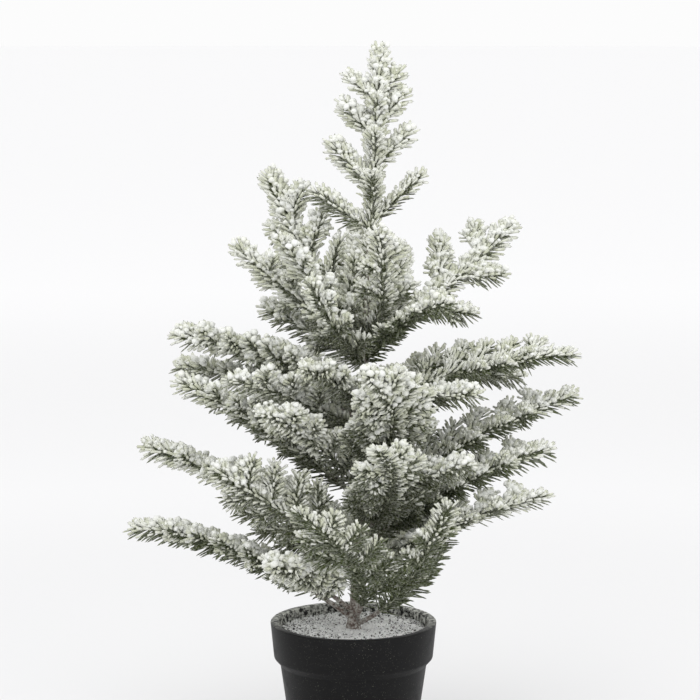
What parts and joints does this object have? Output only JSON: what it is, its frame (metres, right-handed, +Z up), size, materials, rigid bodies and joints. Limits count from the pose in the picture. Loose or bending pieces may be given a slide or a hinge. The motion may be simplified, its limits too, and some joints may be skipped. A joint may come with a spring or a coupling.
{
  "type": "artificial snow-dusted potted table pine",
  "caption": "Small artificial pine with snow-dusted needles on upswept boughs round a slim wrapped trunk, standing in a filled tapered black plastic pot.",
  "frame": {"origin": "centre of the pot's flat underside, where it meets the table", "axes": "+Z up along the pot's axis to the tree's tip, -Y towards the side that faces the viewer, +X to the viewer's right"},
  "size_m": [0.3267, 0.2553, 0.5253],
  "materials": {
    "black_plastic": "satin",
    "dusted_fill": "matte",
    "brown_wrap": "matte",
    "flocked_green": "matte"
  },
  "bodies": {
    "root": {"bough_foot_back": "brown_wrap", "bough_foot_front": "brown_wrap", "bough_foot_left_front": "brown_wrap", "bough_foot_left_long": "brown_wrap", "bough_foot_right_front": "brown_wrap", "bough_front_snowy": "brown_wrap", "bough_left_back": "brown_wrap", "bough_left_snowy": "brown_wrap", "bough_low_back_left": "brown_wrap", "bough_low_back_right": "brown_wrap", "bough_low_left_front": "brown_wrap", "bough_low_left_long": "brown_wrap", "bough_low_right_front": "brown_wrap", "bough_low_right_long": "brown_wrap", "bough_mid_back": "brown_wrap", "bough_mid_front": "brown_wrap", "bough_mid_left_long": "brown_wrap", "bough_mid_right_long": "brown_wrap", "bough_right_back": "brown_wrap", "bough_right_long": "brown_wrap", "fill": "dusted_fill", "leader": "flocked_green", "pot": "black_plastic", "spray_back_left_high": "flocked_green", "spray_back_right_high": "flocked_green", "spray_foot_back": "flocked_green", "spray_foot_front": "flocked_green", "spray_foot_left_front": "flocked_green", "spray_foot_left_long": "flocked_green", "spray_foot_right_front": "flocked_green", "spray_front_left_high": "flocked_green", "spray_front_snowy": "flocked_green", "spray_left_back": "flocked_green", "spray_left_front": "flocked_green", "spray_left_snowy": "flocked_green", "spray_low_back_left": "flocked_green", "spray_low_back_right": "flocked_green", "spray_low_left_front": "flocked_green", "spray_low_left_long": "flocked_green", "spray_low_right_front": "flocked_green", "spray_low_right_long": "flocked_green", "spray_mid_back": "flocked_green", "spray_mid_front": "flocked_green", "spray_mid_left_front": "flocked_green", "spray_mid_left_long": "flocked_green", "spray_mid_right_front": "flocked_green", "spray_mid_right_long": "flocked_green", "spray_right_back": "flocked_green", "spray_right_front": "flocked_green", "spray_right_long": "flocked_green", "spray_top_left": "flocked_green", "spray_upper_back": "flocked_green", "spray_upper_centre": "flocked_green", "spray_upper_front": "flocked_green", "spray_upper_front_left": "flocked_green", "spray_upper_left": "flocked_green", "spray_upper_left_low": "flocked_green", "spray_upper_right_back": "flocked_green", "spray_upper_right_front": "flocked_green", "trunk": "brown_wrap"}
  },
  "joints": []
}
